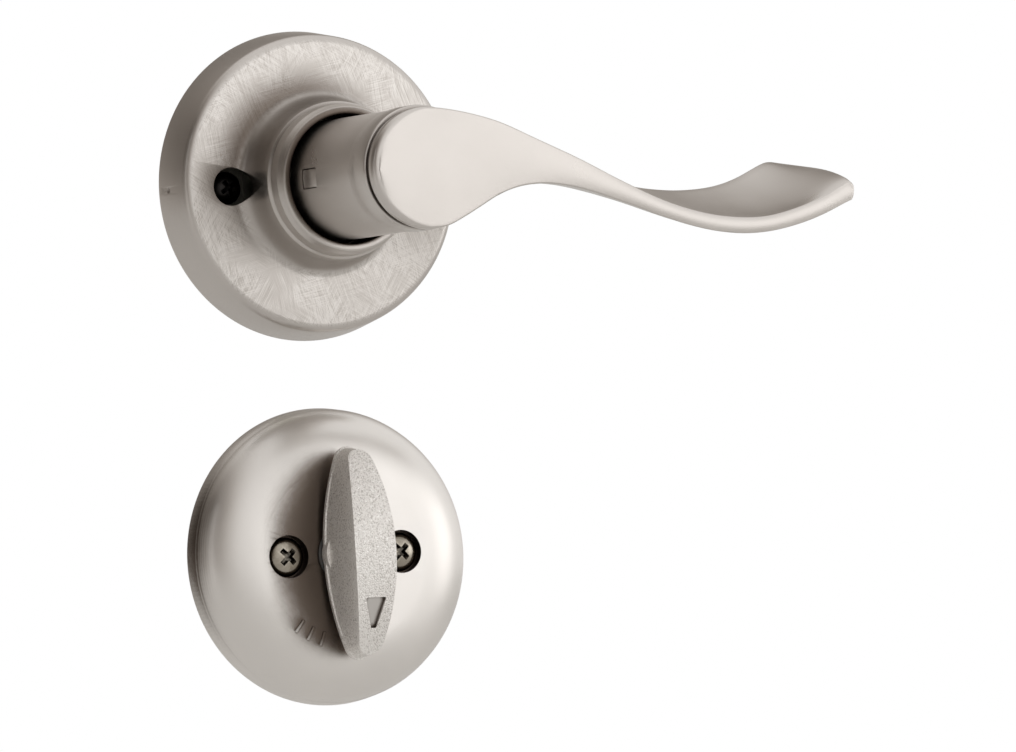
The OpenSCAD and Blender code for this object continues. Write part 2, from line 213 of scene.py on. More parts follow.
# strokes: short hairlines in a few directions, each seen only in patches
def makeStrokes():
    group, come, go = newGroup(
        "brushStrokes",
        [("Vector", "NodeSocketVector", None), ("Fineness", "NodeSocketFloat", 1.0)],
        [("Height", "NodeSocketFloat"), ("Patches", "NodeSocketFloat")],
    )
    total = None
    patchTotal = None
    for turn, shift in ((12, 0.0), (58, 3.1), (-34, 7.7), (96, 12.3), (-71, 17.9)):
        place = addNode(group, "ShaderNodeMapping")
        place.inputs["Location"].default_value = (shift, 0, shift * 0.7)
        place.inputs["Rotation"].default_value = (0, math.radians(turn), 0)
        group.links.new(come.outputs["Vector"], place.inputs["Vector"])
        squeeze = addNode(group, "ShaderNodeMapping")
        squeeze.inputs["Scale"].default_value = (170, 400, 6500)
        group.links.new(place.outputs[0], squeeze.inputs["Vector"])
        finer = addNode(group, "ShaderNodeVectorMath", operation="SCALE")
        group.links.new(squeeze.outputs[0], finer.inputs[0])
        group.links.new(come.outputs["Fineness"], finer.inputs["Scale"])
        hair = addNode(group, "ShaderNodeTexNoise", {"Scale": 1.0, "Detail": 4.0, "Roughness": 0.72})
        group.links.new(finer.outputs[0], hair.inputs["Vector"])
        patch = addNode(group, "ShaderNodeTexNoise", {"Scale": 95.0, "Detail": 1.5})
        group.links.new(place.outputs[0], patch.inputs["Vector"])
        where = rangeNode(group, patch.outputs[0], 0.44, 0.6, 0, 1)
        height = mathNode(group, "MULTIPLY", mathNode(group, "SUBTRACT", hair.outputs[0], 0.5), where)
        total = height if total is None else mathNode(group, "ADD", total, height)
        tone = mathNode(group, "MULTIPLY", mathNode(group, "SUBTRACT", hair.outputs[0], 0.47), where)
        patchTotal = tone if patchTotal is None else mathNode(group, "ADD", patchTotal, tone)
    group.links.new(mathNode(group, "ADD", total, 0.5), go.inputs["Height"])
    group.links.new(mathNode(group, "ADD", patchTotal, 0.5, clamp=True), go.inputs["Patches"])
    return group


# satin: a very fine even tooth, with slow drifts of tone
def makeSatin():
    group, come, go = newGroup(
        "satinTooth",
        [("Vector", "NodeSocketVector", None), ("Scale", "NodeSocketFloat", 1.0)],
        [("Height", "NodeSocketFloat"), ("Drift", "NodeSocketFloat")],
    )
    sized = addNode(group, "ShaderNodeVectorMath", operation="SCALE")
    group.links.new(come.outputs["Vector"], sized.inputs[0])
    group.links.new(come.outputs["Scale"], sized.inputs["Scale"])
    tooth = addNode(group, "ShaderNodeTexNoise", {"Scale": 5200.0, "Detail": 2.0})
    group.links.new(sized.outputs[0], tooth.inputs["Vector"])
    drift = addNode(group, "ShaderNodeTexNoise", {"Scale": 70.0, "Detail": 3.0, "Roughness": 0.55})
    group.links.new(sized.outputs[0], drift.inputs["Vector"])
    group.links.new(tooth.outputs[0], go.inputs["Height"])
    group.links.new(drift.outputs[0], go.inputs["Drift"])
    return group


# edge masks: paler wear where a corner sticks out (on satin nickel a painted dark edge line instead), and
# painted shade in creases where it turns in
def makeEdgeMasks():
    group, come, go = newGroup(
        "edgeWearAndCreaseShade",
        [("Vector", "NodeSocketVector", None), ("Patchiness", "NodeSocketFloat", 0.5)],
        [("ConvexEdge", "NodeSocketFloat"), ("CreaseShade", "NodeSocketFloat")],
    )
    shape = addNode(group, "ShaderNodeNewGeometry")
    out = rangeNode(group, shape.outputs["Pointiness"], 0.53, 0.62, 0, 1)
    inn = rangeNode(group, shape.outputs["Pointiness"], 0.47, 0.40, 0, 1)
    patch = addNode(group, "ShaderNodeTexNoise", {"Scale": 260.0, "Detail": 4.0})
    group.links.new(come.outputs["Vector"], patch.inputs["Vector"])
    patchy = mathNode(group, "MULTIPLY", patch.outputs[0], come.outputs["Patchiness"])
    broken = mathNode(group, "SUBTRACT", 1.0, patchy)
    group.links.new(mathNode(group, "MULTIPLY", out, broken, clamp=True), go.inputs["ConvexEdge"])
    group.links.new(mathNode(group, "MULTIPLY", inn, broken, clamp=True), go.inputs["CreaseShade"])
    return group


# cast grain: rounded grains like wet sand under the plating, with a mask for painted shade in their hollows
def makeCastGrain():
    group, come, go = newGroup(
        "castGrain",
        [("Vector", "NodeSocketVector", None), ("Size", "NodeSocketFloat", 1.0)],
        [("Height", "NodeSocketFloat"), ("HollowShade", "NodeSocketFloat"), ("Glint", "NodeSocketFloat")],
    )
    sized = addNode(group, "ShaderNodeVectorMath", operation="SCALE")
    group.links.new(come.outputs["Vector"], sized.inputs[0])
    group.links.new(come.outputs["Size"], sized.inputs["Scale"])
    grains = addNode(group, "ShaderNodeTexVoronoi", {"Scale": 3100.0, "Smoothness": 0.5},
                     feature="SMOOTH_F1")
    lumps = addNode(group, "ShaderNodeTexNoise", {"Scale": 2700.0, "Detail": 2.0, "Roughness": 0.6})
    glints = addNode(group, "ShaderNodeTexVoronoi", {"Scale": 3300.0})
    for texture in (grains, lumps, glints):
        group.links.new(sized.outputs[0], texture.inputs["Vector"])
    low = rangeNode(group, grains.outputs["Distance"], 0.1, 0.75, 1, 0)
    grainPart = mathNode(group, "MULTIPLY", low, 0.45)
    both = mathNode(group, "ADD", grainPart, mathNode(group, "MULTIPLY", lumps.outputs[0], 0.9))
    split = addNode(group, "ShaderNodeSeparateColor")
    group.links.new(glints.outputs["Color"], split.inputs[0])
    group.links.new(both, go.inputs["Height"])
    group.links.new(rangeNode(group, both, 0.62, 0.42, 0, 1), go.inputs["HollowShade"])
    group.links.new(rangeNode(group, split.outputs[0], 0.86, 0.97, 0, 1), go.inputs["Glint"])
    return group


# painted shade: how far a spot is closed in by what stands near it, from ambient occlusion; a lean tilts it
# to one side so it falls like a cast shadow
def makePaintedShade():
    group, come, go = newGroup(
        "paintedShade",
        [("Distance", "NodeSocketFloat", 0.01), ("Open", "NodeSocketFloat", 0.9),
         ("Closed", "NodeSocketFloat", 0.45), ("Lean", "NodeSocketVector", None)],
        [("Shade", "NodeSocketFloat")],
    )
    near = addNode(group, "ShaderNodeAmbientOcclusion", samples=24)
    facing = addNode(group, "ShaderNodeNewGeometry")
    leant = addNode(group, "ShaderNodeVectorMath", operation="ADD")
    group.links.new(facing.outputs["Normal"], leant.inputs[0])
    group.links.new(come.outputs["Lean"], leant.inputs[1])
    evened = addNode(group, "ShaderNodeVectorMath", operation="NORMALIZE")
    group.links.new(leant.outputs[0], evened.inputs[0])
    group.links.new(evened.outputs[0], near.inputs["Normal"])
    group.links.new(come.outputs["Distance"], near.inputs["Distance"])
    span = addNode(group, "ShaderNodeMapRange", {"To Min": 0.0, "To Max": 1.0},
                   interpolation_type="SMOOTHSTEP")
    group.links.new(near.outputs["AO"], span.inputs["Value"])
    group.links.new(come.outputs["Open"], span.inputs["From Min"])
    group.links.new(come.outputs["Closed"], span.inputs["From Max"])
    group.links.new(span.outputs["Result"], go.inputs["Shade"])
    return group


paintedShadeGroup = makePaintedShade()
strokesGroup = makeStrokes()
satinGroup = makeSatin()
edgeMaskGroup = makeEdgeMasks()
castGroup = makeCastGrain()


def placed(tree, group, vector, ins):
    node = addNode(tree, "ShaderNodeGroup", node_tree=group)
    tree.links.new(vector, node.inputs["Vector"])
    for key, value in ins.items():
        node.inputs[key].default_value = value
    return node


# paints shade into a colour where the surface is closed in
def paintShade(tree, colour, dark, look):
    node = addNode(tree, "ShaderNodeGroup", node_tree=paintedShadeGroup)
    for socket, key in (("Distance", "near"), ("Open", "open"), ("Closed", "closed"), ("Lean", "lean")):
        node.inputs[socket].default_value = look[key]
    return mixColour(tree, mathNode(tree, "MULTIPLY", node.outputs["Shade"], look["depth"]), colour, dark)


def mixColour(tree, amount, first, second):
    node = addNode(tree, "ShaderNodeMix", data_type="RGBA")
    for key, value in ((0, amount), (6, first), (7, second)):
        if isinstance(value, (int, float)):
            node.inputs[key].default_value = value
        elif isinstance(value, tuple):
            node.inputs[key].default_value = (*value, 1)
        else:
            tree.links.new(value, node.inputs[key])
    return node.outputs[2]


def scaled(colour, factor):
    return tuple(min(1, c * factor) for c in colour)


def startMaterial(name, metal=1.0):
    material = bpy.data.materials.new(name)
    material.use_nodes = True
    tree = material.node_tree
    shader = tree.nodes["Principled BSDF"]
    shader.inputs["Metallic"].default_value = metal
    coords = addNode(tree, "ShaderNodeTexCoord").outputs["Object"]
    return material, tree, shader, coords


def bumpFrom(tree, shader, height, distance, strength=1.0):
    bump = addNode(tree, "ShaderNodeBump", {"Strength": strength, "Distance": distance})
    tree.links.new(height, bump.inputs["Height"])
    tree.links.new(bump.outputs[0], shader.inputs["Normal"])


# satin look: the edge colour is painted shade, darker than the nickel, laid along corners that stick out; the
# crease colour and the shade colour are painted shade in creases and where the surface is closed in
satinLook = {"colour": (0.62, 0.585, 0.555), "edgeLineShade": (0.40, 0.37, 0.345), "creaseShadeColour": (0.22, 0.19, 0.165),
             "shade": (0.10, 0.075, 0.058), "rough": 0.30,
             "depth": 0.6, "near": 0.008, "open": 0.95, "closed": 0.45, "lean": (0, 0, 0)}
# dome look: the same satin nickel as the lever, painted paler to stand in for the light the dome catches; its
# painted shade leans to the right, so it falls as a painted shadow to the left of the turn piece
domeLitAndShadedLook = {**satinLook, "colour": (0.76, 0.73, 0.70), "depth": 0.96, "near": 0.02,
            "open": 0.66, "closed": 0.50, "lean": (1.0, 0, -0.1), "rough": 0.35,
            "edgeLineShade": (0.74, 0.715, 0.69)}


# the floor of the triangle pressed in the turn piece, darkened by strong painted shade from its walls
markLook = {**satinLook, "colour": (0.70, 0.675, 0.65), "depth": 0.9, "near": 0.0012,
            "open": 0.9, "closed": 0.35}


def satinNickel(name, look=satinLook, tooth=0.000012):
    material, tree, shader, coords = startMaterial(name)
    satin = placed(tree, satinGroup, coords, {"Scale": 1.0})
    edgeInfo = placed(tree, edgeMaskGroup, coords, {"Patchiness": 0.6})
    base = mixColour(tree, satin.outputs["Drift"], scaled(look["colour"], 0.95), scaled(look["colour"], 1.04))
    # painted shade: a dark line along corners that stick out, darker creases, then darker where the surface
    # is closed in
    edged = mixColour(tree, mathNode(tree, "MULTIPLY", edgeInfo.outputs["ConvexEdge"], 0.6), base, look["edgeLineShade"])
    creaseShaded = mixColour(tree, mathNode(tree, "MULTIPLY", edgeInfo.outputs["CreaseShade"], 0.55), edged, look["creaseShadeColour"])
    tree.links.new(paintShade(tree, creaseShaded, look["shade"], look), shader.inputs["Base Color"])
    tone = rangeNode(tree, satin.outputs["Drift"], 0.3, 0.7, look["rough"] - 0.03, look["rough"] + 0.05)
    tree.links.new(tone, shader.inputs["Roughness"])
    bumpFrom(tree, shader, satin.outputs["Height"], tooth, 0.6)
    return material


# brushed look: the painted shade leans to the lower right, so it falls darkest on the upper left of the hub's
# cove
brushedLook = {"colour": (0.58, 0.545, 0.515), "light": (0.68, 0.65, 0.62), "dark": (0.42, 0.385, 0.355),
               "faceLow": 10.75, "faceHigh": 11.35, "cut": 0.00002,
               "depth": 0.9, "near": 0.014, "open": 0.78, "closed": 0.42, "lean": (0.6, 0, -0.6)}


def brushedNickel(look=brushedLook):
    material, tree, shader, coords = startMaterial("brushedNickel")
    strokes = placed(tree, strokesGroup, coords, {"Fineness": 1.0})
    satin = placed(tree, satinGroup, coords, {"Scale": 1.0})
    edgeInfo = placed(tree, edgeMaskGroup, coords, {"Patchiness": 0.5})
    split = addNode(tree, "ShaderNodeSeparateXYZ")
    tree.links.new(coords, split.inputs[0])
    depth = split.outputs["Y"]
    # the strokes are only on the flat face, between the rounded rim and the hub
    above = rangeNode(tree, depth, -look["faceLow"] * mm, -(look["faceLow"] + 0.25) * mm, 0, 1)
    below = rangeNode(tree, depth, -look["faceHigh"] * mm, -(look["faceHigh"] + 0.8) * mm, 1, 0)
    face = mathNode(tree, "MULTIPLY", above, below, clamp=True)
    patches = rangeNode(tree, strokes.outputs["Patches"], 0.36, 0.66, 0, 1)
    tone = mixColour(tree, patches, look["dark"], look["light"])
    plain = mixColour(tree, satin.outputs["Drift"], scaled(look["colour"], 0.95),
                      scaled(look["colour"], 1.04))
    base = mixColour(tree, mathNode(tree, "MULTIPLY", face, 0.85), plain, tone)
    # painted shade in creases, then where the surface is closed in
    creaseShadeAmount = mathNode(tree, "MULTIPLY", edgeInfo.outputs["CreaseShade"], 0.5)
    creaseShaded = mixColour(tree, creaseShadeAmount, base, satinLook["creaseShadeColour"])
    tree.links.new(paintShade(tree, creaseShaded, satinLook["shade"], look), shader.inputs["Base Color"])
    tone = rangeNode(tree, strokes.outputs["Patches"], 0.35, 0.65, 0.40, 0.30)
    tree.links.new(tone, shader.inputs["Roughness"])
    share = mathNode(tree, "ADD", mathNode(tree, "MULTIPLY", face, 0.85), 0.15)
    height = mathNode(tree, "MULTIPLY", strokes.outputs["Height"], share)
    bumpFrom(tree, shader, height, look["cut"], 0.8)
    return material


castLook = {"colour": (0.84, 0.81, 0.78), "hollowShade": (0.34, 0.31, 0.28), "glint": (0.95, 0.93, 0.90),
            "relief": 0.00016}


def castNickel(look=castLook):
    material, tree, shader, coords = startMaterial("castNickel", 0.8)
    grain = placed(tree, castGroup, coords, {"Size": 1.0})
    edgeInfo = placed(tree, edgeMaskGroup, coords, {"Patchiness": 0.3})
    # painted shade in the hollows between grains
    hollowShade = mathNode(tree, "MULTIPLY", grain.outputs["HollowShade"], 0.55)
    base = mixColour(tree, hollowShade, look["colour"], look["hollowShade"])
    lit = mixColour(tree, mathNode(tree, "MULTIPLY", grain.outputs["Glint"], 0.8), base, look["glint"])
    edged = mixColour(tree, mathNode(tree, "MULTIPLY", edgeInfo.outputs["ConvexEdge"], 0.35), lit, look["glint"])
    tree.links.new(edged, shader.inputs["Base Color"])
    tree.links.new(rangeNode(tree, grain.outputs["Glint"], 0, 1, 0.54, 0.3), shader.inputs["Roughness"])
    bumpFrom(tree, shader, grain.outputs["Height"], look["relief"], 1.0)
    return material


plainLooks = {
    # name: colour, second colour, roughness, metal
    "zincPlate": ((0.58, 0.565, 0.50), (0.66, 0.62, 0.50), 0.36, 1.0),
    "springSteel": ((0.30, 0.30, 0.32), (0.20, 0.19, 0.19), 0.34, 1.0),
    "darkScrew": ((0.055, 0.05, 0.048), (0.11, 0.10, 0.095), 0.30, 1.0),
    "screwNickel": ((0.44, 0.40, 0.34), (0.34, 0.305, 0.255), 0.13, 1.0),
    "bushPlastic": ((0.045, 0.042, 0.04), (0.06, 0.056, 0.052), 0.42, 0.0),
}


plainShade = {"depth": 0.9, "near": 0.012, "open": 0.8, "closed": 0.35, "lean": (0, 0, 0)}


def plainFinish(name):
    colour, second, rough, metal = plainLooks[name]
    material, tree, shader, coords = startMaterial(name, metal)
    satin = placed(tree, satinGroup, coords, {"Scale": 1.6})
    edgeInfo = placed(tree, edgeMaskGroup, coords, {"Patchiness": 0.7})
    base = mixColour(tree, rangeNode(tree, satin.outputs["Drift"], 0.35, 0.65, 0, 1), colour, second)
    worn = mathNode(tree, "MULTIPLY", edgeInfo.outputs["ConvexEdge"], 0.4)
    edged = mixColour(tree, worn, base, scaled(colour, 1.5))
    # painted shade in creases, then where the surface is closed in
    creaseShadeAmount = mathNode(tree, "MULTIPLY", edgeInfo.outputs["CreaseShade"], 0.5)
    creaseShaded = mixColour(tree, creaseShadeAmount, edged, scaled(colour, 0.35))
    tree.links.new(paintShade(tree, creaseShaded, scaled(colour, 0.12), plainShade), shader.inputs["Base Color"])
    tone = rangeNode(tree, satin.outputs["Drift"], 0.3, 0.7, rough - 0.05, rough + 0.08)
    tree.links.new(tone, shader.inputs["Roughness"])
    bumpFrom(tree, shader, satin.outputs["Height"], 0.00002, 0.7)
    return material


finishes = {
    "satinNickel": satinNickel("satinNickel"),
    "litDomeNickel": satinNickel("litDomeNickel", domeLitAndShadedLook),
    "markNickel": satinNickel("markNickel", markLook),
    "brushedNickel": brushedNickel(),
    "castNickel": castNickel(),
}
for finishName in plainLooks:
    finishes[finishName] = plainFinish(finishName)
print("finishes made:", ", ".join(finishes))


def toObject(name, shape, finish, sharpAngle=32):
    mesh = bpy.data.meshes.new(name)
    shape.to_mesh(mesh)
    shape.free()
    piece = bpy.data.objects.new(name, mesh)
    bpy.context.collection.objects.link(piece)
    mesh.materials.append(finishes[finish])
    smoothFaces(mesh, sharpAngle)
    return piece


def smoothFaces(mesh, sharpAngle=32):
    mesh.polygons.foreach_set("use_smooth", [True] * len(mesh.polygons))
    mesh.set_sharp_from_angle(angle=math.radians(sharpAngle))
    mesh.update()


# a profile of (radius, height) points, spun about the outward axis into a solid
def spunShape(profile, steps, closed=True):
    shape = bmesh.new()
    verts = [shape.verts.new((r * mm, -h * mm, 0)) for r, h in profile]
    pairs = list(zip(verts, verts[1:])) + ([(verts[-1], verts[0])] if closed else [])
    edges = [shape.edges.new(pair) for pair in pairs]
    bmesh.ops.spin(shape, geom=verts + edges, cent=(0, 0, 0), axis=(0, 1, 0), angle=2 * math.pi,
                   steps=steps, use_merge=True, use_duplicate=False)
    bmesh.ops.remove_doubles(shape, verts=shape.verts, dist=0.0000005)
    bmesh.ops.recalc_face_normals(shape, faces=shape.faces)
    return shape


# rounds the corners of an outline: each point is (x, y) or (x, y, radius)
def rounded(points, closed=True, steps=5):
    result = []
    count = len(points)
    for i, point in enumerate(points):
        here = Vector(point[:2])
        radius = point[2] if len(point) > 2 else 0
        if radius == 0 or (not closed and i in (0, count - 1)):
            result.append(tuple(here))
            continue
        before = Vector(points[i - 1][:2])
        after = Vector(points[(i + 1) % count][:2])
        towardBefore = (before - here).normalized()
        towardAfter = (after - here).normalized()
        half = towardBefore.angle(towardAfter) / 2
        reach = radius / math.tan(half)
        centre = here + (towardBefore + towardAfter).normalized() * radius / math.sin(half)
        start = here + towardBefore * reach - centre
        end = here + towardAfter * reach - centre
        sweep = start.angle_signed(end)
        for k in range(steps + 1):
            spot = start.copy()
            spot.rotate(Matrix.Rotation(-sweep * k / steps, 2))
            result.append(tuple(centre + spot))
    return result


def ellipseArc(cx, cy, rx, ry, fromDeg, toDeg, steps):
    turns = [math.radians(fromDeg + (toDeg - fromDeg) * k / steps) for k in range(steps + 1)]
    return [(cx + rx * math.cos(a), cy + ry * math.sin(a)) for a in turns]


# runs the modifiers on a piece and keeps what they give
def applied(piece):
    graph = bpy.context.evaluated_depsgraph_get()
    made = bpy.data.meshes.new_from_object(piece.evaluated_get(graph))
    old = piece.data
    piece.modifiers.clear()
    piece.data = made
    bpy.data.meshes.remove(old)
    return piece


def boolean(piece, tool, operation):
    step = piece.modifiers.new("cut", "BOOLEAN")
    step.operation = operation
    step.solver = "EXACT"
    step.material_mode = "TRANSFER"
    step.object = tool
    applied(piece)
    old = tool.data
    bpy.data.objects.remove(tool)
    bpy.data.meshes.remove(old)
    return piece


# breaks every sharp corner of a piece with a narrow round
def broken(piece, width, angle=35, segments=2, sharpAngle=32):
    step = piece.modifiers.new("corners", "BEVEL")
    step.width = width * mm
    step.segments = segments
    step.limit_method = "ANGLE"
    step.angle_limit = math.radians(angle)
    step.use_clamp_overlap = True
    applied(piece)
    smoothFaces(piece.data, sharpAngle)
    return piece


def moved(shape, offset):
    bmesh.ops.translate(shape, verts=shape.verts, vec=offset)
    return shape


# draws closed rings of points one after another, each extruded from the one before; gives back the rings
def drawRings(shape, rings):
    loop = [shape.verts.new(p) for p in rings[0]]
    count = len(loop)
    edges = [shape.edges.new((loop[i], loop[(i + 1) % count])) for i in range(count)]
    loops = [loop]
    for ring in rings[1:]:
        grown = bmesh.ops.extrude_edge_only(shape, edges=edges)["geom"]
        fresh = {}
        for vert in (g for g in grown if isinstance(g, bmesh.types.BMVert)):
            for edge in vert.link_edges:
                fresh[edge.other_vert(vert)] = vert
        loop = [fresh[old] for old in loops[-1]]
        for vert, place in zip(loop, ring):
            vert.co = place
        edges = [shape.edges.get((loop[i], loop[(i + 1) % count])) for i in range(count)]
        loops.append(loop)
    return loops


# closes a ring with a strip of four-sided faces between its two halves
def closeRing(shape, loop):
    count = len(loop)
    half = count // 2
    rows = [(loop[i], loop[i + 1]) for i in range(half - 1)]
    rows += [(loop[i], loop[i + 1]) for i in range(half, count - 1)]
    bmesh.ops.bridge_loops(shape, edges=[shape.edges.get(pair) for pair in rows])


# a round tool on the outward axis, for cutting holes
def plug(x, z, radius, low, high, finish, steps=64):
    shape = spunShape([(0, low), (radius, low), (radius, high), (0, high)], steps, closed=False)
    return toObject("tool", moved(shape, (x * mm, 0, z)), finish)


def finished(piece, body, slotName, *nodes):
    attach(piece, body)
    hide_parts(*nodes)
    return piece


# the lever: neck, ring and head are spun, and the blade is drawn back from its front outline
leverShape = {
    "neckRadius": 13.1, "neckStart": 14.0, "boreRadius": 10.25, "boreTop": 41.0,
    "ringRadius": 13.45, "ringLow": 56.2, "ringHigh": 61.9, "grooveRadius": 12.3,
    "frontHeight": 65.8, "discRadius": 13.1, "discDrop": -0.25,
    # front edge, seen from the front, in (distance from the axis, height)
    "top": [(0, 12.85), (6, 12.0), (12, 10.65), (18, 8.7), (26, 5.0), (36, 0.3), (46, -4.9), (56, -9.5),
            (65, -12.3), (73, -13.5), (80, -13.5), (87, -12.1), (94, -9.8), (100.2, -6.9)],
    "bottom": [(0, -13.35), (4, -12.75), (8, -11.0), (12, -8.9), (16, -6.8), (20, -5.4), (24, -4.75),
               (29, -4.8), (36, -6.1), (46, -9.4), (56, -13.1), (65, -15.8), (73, -17.0), (80, -16.9),
               (87, -15.7), (94, -13.7), (100.6, -11.1)],
    "tip": (101.8, -8.4),
    # along the blade: distance, depth front to back, rise of the back edge, thickness kept at the back
    "draw": [(-14, 2.7, 0, 1.0), (-1, 2.7, 0, 1.0), (4, 9.3, 0, 1.0), (24, 9.7, 0.1, 0.9),
             (34, 10.8, 0.7, 0.88), (44, 13.0, 2.0, 0.9), (54, 15.6, 3.9, 0.97), (64, 18.4, 6.0, 1.0),
             (74, 20.6, 7.7, 0.95), (84, 22.4, 9.0, 0.9), (93, 23.3, 9.7, 0.8),
             (98, 23.5, 7.4, 0.76), (103, 23.5, 3.8, 0.72)],
    "skew": 4.6, "bulge": 0.4, "crown": 0.2, "frontRound": 0.32, "discRound": 1.15, "backRound": 0.5,
}


# a smooth curve through a table's rows, read at x
def readCurve(table, x, column=1):
    i = 0
    while i < len(table) - 2 and x > table[i + 1][0]:
        i += 1

    def slopeAt(k):
        a, b = max(k - 1, 0), min(k + 1, len(table) - 1)
        return (table[b][column] - table[a][column]) / (table[b][0] - table[a][0])

    width = table[i + 1][0] - table[i][0]
    u = min(max((x - table[i][0]) / width, 0), 1)
    v = u * u
    w = v * u
    return (table[i][column] * (1 - 3 * v + 2 * w) + table[i + 1][column] * (3 * v - 2 * w)
            + slopeAt(i) * width * (u - 2 * v + w) + slopeAt(i + 1) * width * (w - v))


def smoothStep(low, high, x):
    u = min(max((x - low) / (high - low), 0), 1)
    return u * u * (3 - 2 * u)


# the front outline, as two rows of points from the disc's far side to the tip
def leverOutline(s, arcSteps=26, bladeSteps=110, tipSteps=10):
    top, bottom = [], []
    for k in range(arcSteps):
        a = math.radians(1.2 + 88.8 * k / arcSteps)
        across, up = -s["discRadius"] * math.cos(a), s["discRadius"] * math.sin(a)
        top.append((across, s["discDrop"] + up))
        bottom.append((across, s["discDrop"] - up))
    for k in range(bladeSteps + 1):
        t = k / bladeSteps
        xTop, xBottom = s["top"][-1][0] * t, s["bottom"][-1][0] * t
        top.append((xTop, readCurve(s["top"], xTop)))
        bottom.append((xBottom, readCurve(s["bottom"], xBottom)))
    tip = Vector(s["tip"])
    for row in (top, bottom):
        start = Vector(row[-1])
        for k in range(1, tipSteps + 1):
            a = math.radians(84 * k / tipSteps)
            row.append((start.x + (tip.x - start.x) * math.sin(a), tip.y + (start.y - tip.y) * math.cos(a)))
    return top, bottom


def makeBlade(s):
    top, bottom = leverOutline(s)
    outline = [Vector(p) for p in top + bottom[::-1]]
    count = len(outline)
    normals = []
    for i in range(count):
        along = (outline[(i + 1) % count] - outline[i - 1]).normalized()
        normals.append(Vector((-along.y, along.x)))
    tipX = s["tip"][0]

    def frontHeight(x):
        return s["frontHeight"] - 2.4 * (max(x, 0) / 105) ** 3

    # one point of a ring: how far it is drawn in from the full outline, and how far it is behind the front
    def ringPoint(i, inset, drop, depth):
        share = drop / depth
        x = outline[i].x
        edge = outline[i] - normals[i] * inset
        middle = (top[min(i, count - 1 - i)][1] + bottom[min(i, count - 1 - i)][1]) / 2
        keep = 1 + (readCurve(s["draw"], x, 3) - 1) * share
        rise = readCurve(s["draw"], x, 2)
        near = (max(x - 55, 0) / (tipX - 55)) ** 5
        forward = near * (s["bulge"] * math.sin(math.pi * min(share, 1)) - s["skew"] * share ** 4)
        lift = rise * share ** (1.3 - 0.65 * smoothStep(86, 100, x))
        height = frontHeight(edge.x) - drop
        across = middle + (edge.y - middle) * keep + lift
        return Vector(((edge.x + forward) * mm, -height * mm, across * mm))

    # rounds at the front and back edges, and straight sides between them
    def ring(i, turn, part):
        x = outline[i].x
        soft = 1 - smoothStep(-9, 4, x)
        front = s["frontRound"] + s["discRound"] * soft
        back = s["backRound"]
        depth = readCurve(s["draw"], x)
        if part == "front":
            return ringPoint(i, front * (1 - math.sin(turn)), front * (1 - math.cos(turn)), depth)
        if part == "back":
            return ringPoint(i, back * (1 - math.cos(turn)), depth - back * (1 - math.sin(turn)), depth)
        return ringPoint(i, 0, front + (depth - front - back) * turn, depth)

    # the front face is a little crowned, in rows that close in on the middle line
    def crownRow(i, share):
        point = ring(i, 0, "front")
        middle = (ring(i, 0, "front").z + ring(count - 1 - i, 0, "front").z) / 2
        rise = s["crown"] * (1 - share ** 2) * mm
        return Vector((point.x, point.y - rise, middle + (point.z - middle) * share))

    corner = [math.radians(90 * k / 5) for k in range(6)]
    crown = [0.12, 0.4, 0.65, 0.85, 0.96]
    steps = [(a, "front") for a in corner]
    steps += [(k / 13, "side") for k in range(1, 13)]
    steps += [(a, "back") for a in corner]
    shape = bmesh.new()
    rows = [[crownRow(i, share) for i in range(count)] for share in crown]
    loops = drawRings(shape, rows + [[ring(i, *step) for i in range(count)] for step in steps])
    closeRing(shape, loops[0])
    closeRing(shape, loops[-1])
    bmesh.ops.recalc_face_normals(shape, faces=shape.faces)
    return shape


def makeNeck(s):
    profile = rounded([
        (0, 64.6), (s["grooveRadius"], 64.6), (s["grooveRadius"], s["ringHigh"], 0.25),
        (s["ringRadius"], s["ringHigh"], 0.45), (s["ringRadius"], s["ringLow"], 0.3),
        (s["neckRadius"] + 0.1, s["ringLow"] - 0.1, 0.15), (s["neckRadius"], s["ringLow"] - 3.0, 2.0),
        (s["neckRadius"], s["neckStart"], 0.4), (s["boreRadius"], s["neckStart"], 0.2),
        (s["boreRadius"], s["boreTop"]), (0, s["boreTop"]),
    ], closed=False)
    return spunShape(profile, 144, closed=False)


def makeLever():
    s = leverShape
    neck = toObject("neck", makeNeck(s), "satinNickel")
    lever = toObject("leverCasting", makeBlade(s), "satinNickel")
    boolean(lever, neck, "UNION")
    low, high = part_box("catch_button")
    window = bmesh.new()
    bmesh.ops.create_cube(window, size=1)
    centre = Vector((-neckReach(s), (low.y + high.y) / 2, (low.z + high.z) / 2))
    size = Vector((8 * mm, catchOpening["long"] * mm, catchOpening["wide"] * mm))
    bmesh.ops.scale(window, vec=size, verts=window.verts)
    upright = [e for e in window.edges if abs((e.verts[0].co - e.verts[1].co).normalized().x) > 0.9]
    bmesh.ops.bevel(window, geom=upright, offset=0.5 * mm, offset_type="OFFSET", segments=4, profile=0.5,
                    affect="EDGES", material=-1)
    tool = toObject("tool", moved(window, centre), "satinNickel")
    boolean(lever, tool, "DIFFERENCE")
    smoothFaces(lever.data, 28)
    finished(lever, "lever", "satin_nickel", "lever")
    print("lever made,", len(lever.data.polygons), "faces")


catchOpening = {"long": 7.2, "wide": 4.4}


def neckReach(s):
    return (s["neckRadius"] - 1) * mm


makeLever()


roseShape = {
    "rimRadius": 33.5, "faceRadius": 31.9, "faceHeight": 11.0, "hubFoot": 20.4, "hubRadius": 17.15,
    "coveTop": 18.5, "lipTop": 25.8, "openingRadius": 13.95, "skin": 1.2,
    "accessRadius": 4.15, "stakeHeight": 4.2, "stakeRadius": 1.1,
}


